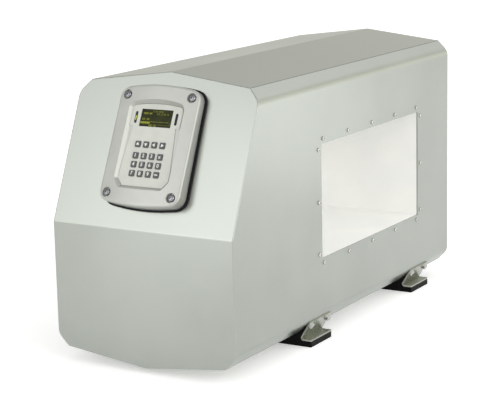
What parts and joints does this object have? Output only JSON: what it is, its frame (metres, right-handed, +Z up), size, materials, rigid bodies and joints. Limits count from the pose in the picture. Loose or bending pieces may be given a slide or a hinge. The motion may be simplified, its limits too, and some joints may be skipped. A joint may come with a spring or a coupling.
{
  "type": "conveyor metal detector",
  "caption": "Conveyor metal detector head: satin steel casing with a rectangular product tunnel, a sloping control end with display and push keys, and clamped feet.",
  "frame": {"origin": "on the floor plane, at the centre of the four foot bolt holes, below the middle of the tunnel", "axes": "+X along the casing away from the control end, +Y along the belt through the tunnel, +Z up"},
  "size_m": [0.8418, 0.3748, 0.488],
  "materials": {
    "satin_steel": "bead-blasted satin stainless steel sheet",
    "rail_steel": "plain drawn steel bar",
    "liner_white": "smooth white food-grade plastic",
    "screw_steel": "bright stainless fasteners",
    "former_laminate": "phenolic laminate",
    "coil_copper": "enamelled copper winding",
    "partition_aluminium": "plain sheet",
    "standoff_brass": "turned",
    "board_green": "solder-masked circuit board",
    "supply_case": "plain folded case",
    "terminal_plastic": "moulded",
    "ribbon_grey": "flat cable insulation",
    "gland_nylon": "moulded nylon",
    "gland_rubber": "moulded rubber",
    "gasket_rubber": "moulded rubber",
    "bezel_grey": "moulded light grey, semi-gloss",
    "faceplate_grey": "printed sheet, satin",
    "display_lens": "clear lens over a dark display",
    "light_lit": "lit yellow-green lens",
    "light_dark": "unlit dark lens",
    "key_rubber": "moulded silicone",
    "foot_black": "moulded black polymer",
    "plate_steel": "satin stainless plate"
  },
  "bodies": {
    "head": {"roof_panel": "satin_steel", "keel_panel": "satin_steel", "front_side_panel": "satin_steel", "rear_side_panel": "satin_steel", "control_end_panel": "satin_steel", "far_end_panel": "satin_steel", "upper_rails": "rail_steel", "lower_rails": "rail_steel", "panel_nuts": "rail_steel", "tunnel_liner": "liner_white", "front_liner_screws": "screw_steel", "rear_liner_screws": "screw_steel", "foot_bolts": "screw_steel", "panel_screws": "screw_steel", "upper_coil_former": "former_laminate", "lower_coil_former": "former_laminate", "front_receive_coil": "coil_copper", "transmit_coil": "coil_copper", "rear_receive_coil": "coil_copper", "partition": "partition_aluminium", "board_standoffs": "standoff_brass", "main_board": "board_green", "keypad_board": "board_green", "display_module": "board_green", "power_supply": "supply_case", "terminal_block": "terminal_plastic", "ribbon_cable": "ribbon_grey", "gland_bodies": "gland_nylon", "gland_caps": "gland_nylon", "gland_locknuts": "gland_nylon", "gland_seals": "gland_rubber", "panel_gasket": "gasket_rubber", "panel_bezel": "bezel_grey", "faceplate": "faceplate_grey", "display_window": "display_lens", "left_status_light": "light_lit", "right_status_light": "light_dark", "front_left_foot": "foot_black", "front_right_foot": "foot_black", "rear_left_foot": "foot_black", "rear_right_foot": "foot_black", "foot_plates": "plate_steel"},
    "key_f1": {"key_f1": "key_rubber"},
    "key_f2": {"key_f2": "key_rubber"},
    "key_f3": {"key_f3": "key_rubber"},
    "key_f4": {"key_f4": "key_rubber"},
    "key_1": {"key_1": "key_rubber"},
    "key_2": {"key_2": "key_rubber"},
    "key_3": {"key_3": "key_rubber"},
    "key_clear": {"key_clear": "key_rubber"},
    "key_4": {"key_4": "key_rubber"},
    "key_5": {"key_5": "key_rubber"},
    "key_6": {"key_6": "key_rubber"},
    "key_0": {"key_0": "key_rubber"},
    "key_7": {"key_7": "key_rubber"},
    "key_8": {"key_8": "key_rubber"},
    "key_9": {"key_9": "key_rubber"},
    "key_enter": {"key_enter": "key_rubber"}
  },
  "joints": [
    {"name": "press_f1", "type": "slide", "parent": "head", "child": "key_f1", "axis": [0.9026, 0, -0.4305], "range_m": [0, 0.001], "stiffness_N_per_m": 500},
    {"name": "press_f2", "type": "slide", "parent": "head", "child": "key_f2", "axis": [0.9026, 0, -0.4305], "range_m": [0, 0.001], "stiffness_N_per_m": 500},
    {"name": "press_f3", "type": "slide", "parent": "head", "child": "key_f3", "axis": [0.9026, 0, -0.4305], "range_m": [0, 0.001], "stiffness_N_per_m": 500},
    {"name": "press_f4", "type": "slide", "parent": "head", "child": "key_f4", "axis": [0.9026, 0, -0.4305], "range_m": [0, 0.001], "stiffness_N_per_m": 500},
    {"name": "press_1", "type": "slide", "parent": "head", "child": "key_1", "axis": [0.9026, 0, -0.4305], "range_m": [0, 0.001], "stiffness_N_per_m": 500},
    {"name": "press_2", "type": "slide", "parent": "head", "child": "key_2", "axis": [0.9026, 0, -0.4305], "range_m": [0, 0.001], "stiffness_N_per_m": 500},
    {"name": "press_3", "type": "slide", "parent": "head", "child": "key_3", "axis": [0.9026, 0, -0.4305], "range_m": [0, 0.001], "stiffness_N_per_m": 500},
    {"name": "press_clear", "type": "slide", "parent": "head", "child": "key_clear", "axis": [0.9026, 0, -0.4305], "range_m": [0, 0.001], "stiffness_N_per_m": 500},
    {"name": "press_4", "type": "slide", "parent": "head", "child": "key_4", "axis": [0.9026, 0, -0.4305], "range_m": [0, 0.001], "stiffness_N_per_m": 500},
    {"name": "press_5", "type": "slide", "parent": "head", "child": "key_5", "axis": [0.9026, 0, -0.4305], "range_m": [0, 0.001], "stiffness_N_per_m": 500},
    {"name": "press_6", "type": "slide", "parent": "head", "child": "key_6", "axis": [0.9026, 0, -0.4305], "range_m": [0, 0.001], "stiffness_N_per_m": 500},
    {"name": "press_0", "type": "slide", "parent": "head", "child": "key_0", "axis": [0.9026, 0, -0.4305], "range_m": [0, 0.001], "stiffness_N_per_m": 500},
    {"name": "press_7", "type": "slide", "parent": "head", "child": "key_7", "axis": [0.9026, 0, -0.4305], "range_m": [0, 0.001], "stiffness_N_per_m": 500},
    {"name": "press_8", "type": "slide", "parent": "head", "child": "key_8", "axis": [0.9026, 0, -0.4305], "range_m": [0, 0.001], "stiffness_N_per_m": 500},
    {"name": "press_9", "type": "slide", "parent": "head", "child": "key_9", "axis": [0.9026, 0, -0.4305], "range_m": [0, 0.001], "stiffness_N_per_m": 500},
    {"name": "press_enter", "type": "slide", "parent": "head", "child": "key_enter", "axis": [0.9026, 0, -0.4305], "range_m": [0, 0.001], "stiffness_N_per_m": 500}
  ]
}
